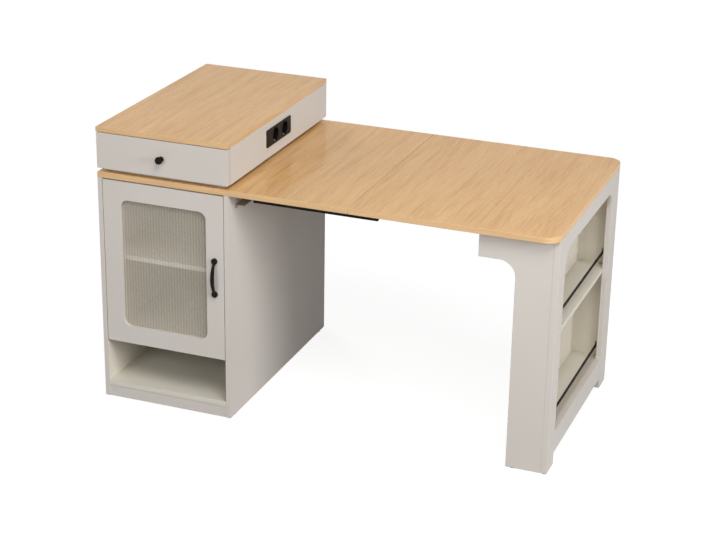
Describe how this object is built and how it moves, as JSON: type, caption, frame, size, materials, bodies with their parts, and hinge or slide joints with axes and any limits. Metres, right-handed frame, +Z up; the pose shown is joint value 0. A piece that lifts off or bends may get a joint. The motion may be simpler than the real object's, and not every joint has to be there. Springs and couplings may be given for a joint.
{
  "type": "kitchen table",
  "caption": "Kitchen table with a glazed storage cabinet, a raised drawer unit with sockets, and an open shelf unit under the far end that draws out on runners.",
  "frame": {"origin": "on the floor, under the middle of the whole object's box, the door handle and the cable grommet included", "axes": "+X along the table from the cabinet to the shelf unit, +Y from the door's side to the back, +Z up"},
  "size_m": [1.438, 0.793, 0.892],
  "materials": {
    "oak": "light oak grain along the table's depth, satin lacquer",
    "painted_board": "fibreboard in a warm greige satin paint",
    "fluted_glass": "clear glass, smooth in front and ribbed behind",
    "black_metal": "satin black coating",
    "zinc_steel": "bright zinc",
    "black_plastic": "fine matt texture",
    "white_plastic": "smooth"
  },
  "bodies": {
    "cabinet": {"fixed_board": "oak", "cabinet_side_left": "painted_board", "cabinet_side_right": "painted_board", "cabinet_back": "painted_board", "cabinet_top": "painted_board", "cupboard_floor": "painted_board", "niche_floor": "painted_board", "plinth": "painted_board", "cupboard_shelf": "painted_board", "shelf_pins": "zinc_steel", "cabinet_glides": "black_plastic", "hinge_arms": "zinc_steel", "door_catch": "white_plastic", "unit_side_left": "painted_board", "unit_side_right": "painted_board", "unit_floor": "painted_board", "unit_back": "painted_board", "unit_divider": "painted_board", "unit_spacers": "painted_board", "unit_top": "oak", "socket_plate": "black_plastic", "socket_housing": "black_plastic", "cable_grommet": "black_plastic", "drawer_slide_outers": "zinc_steel", "runner_outer_front": "black_metal", "runner_outer_back": "black_metal", "side_ledger": "black_metal"},
    "door": {"door_frame": "painted_board", "door_glass": "fluted_glass", "glass_bead": "painted_board", "door_handle": "black_metal", "handle_screws": "zinc_steel", "hinge_cups": "zinc_steel", "catch_strike": "zinc_steel"},
    "drawer": {"drawer_front": "painted_board", "drawer_side_left": "painted_board", "drawer_side_right": "painted_board", "drawer_back": "painted_board", "drawer_bottom": "painted_board", "drawer_knob": "black_metal", "drawer_slide_inners": "zinc_steel"},
    "drawer_middles": {"drawer_slide_middles": "zinc_steel"},
    "end_section": {"leaf_board": "oak", "end_board": "oak", "end_panel_front": "painted_board", "end_panel_back": "painted_board", "end_inner_panel": "painted_board", "end_face_frame": "painted_board", "end_floor": "painted_board", "end_middle_shelf": "painted_board", "end_bottom_rail": "painted_board", "arm_stretcher": "painted_board", "joining_battens": "painted_board", "gallery_rods": "black_metal", "gallery_flanges": "black_metal", "end_glides": "black_plastic", "runner_inners": "black_metal", "leaf_brackets": "black_metal"},
    "table_middles": {"runner_middles": "black_metal"}
  },
  "joints": [
    {"name": "door_hinge", "type": "hinge", "parent": "cabinet", "child": "door", "pos_m": [-0.702, -0.3705, 0.463], "axis": [0, 0, -1], "range_deg": [0, 105]},
    {"name": "drawer_slide", "type": "slide", "parent": "cabinet", "child": "drawer", "axis": [0, -1, 0], "range_m": [0, 0.2]},
    {"name": "drawer_middle_slide", "type": "slide", "parent": "cabinet", "child": "drawer_middles", "axis": [0, -1, 0], "range_m": [0, 0.1]},
    {"name": "table_slide", "type": "slide", "parent": "cabinet", "child": "end_section", "axis": [1, 0, 0], "range_m": [0, 0.3]},
    {"name": "table_middle_slide", "type": "slide", "parent": "cabinet", "child": "table_middles", "axis": [1, 0, 0], "range_m": [0, 0.15]}
  ],
  "couplings": [
    {"joint": "drawer_middle_slide", "follows": "drawer_slide", "ratio": 0.5},
    {"joint": "table_middle_slide", "follows": "table_slide", "ratio": 0.5}
  ]
}
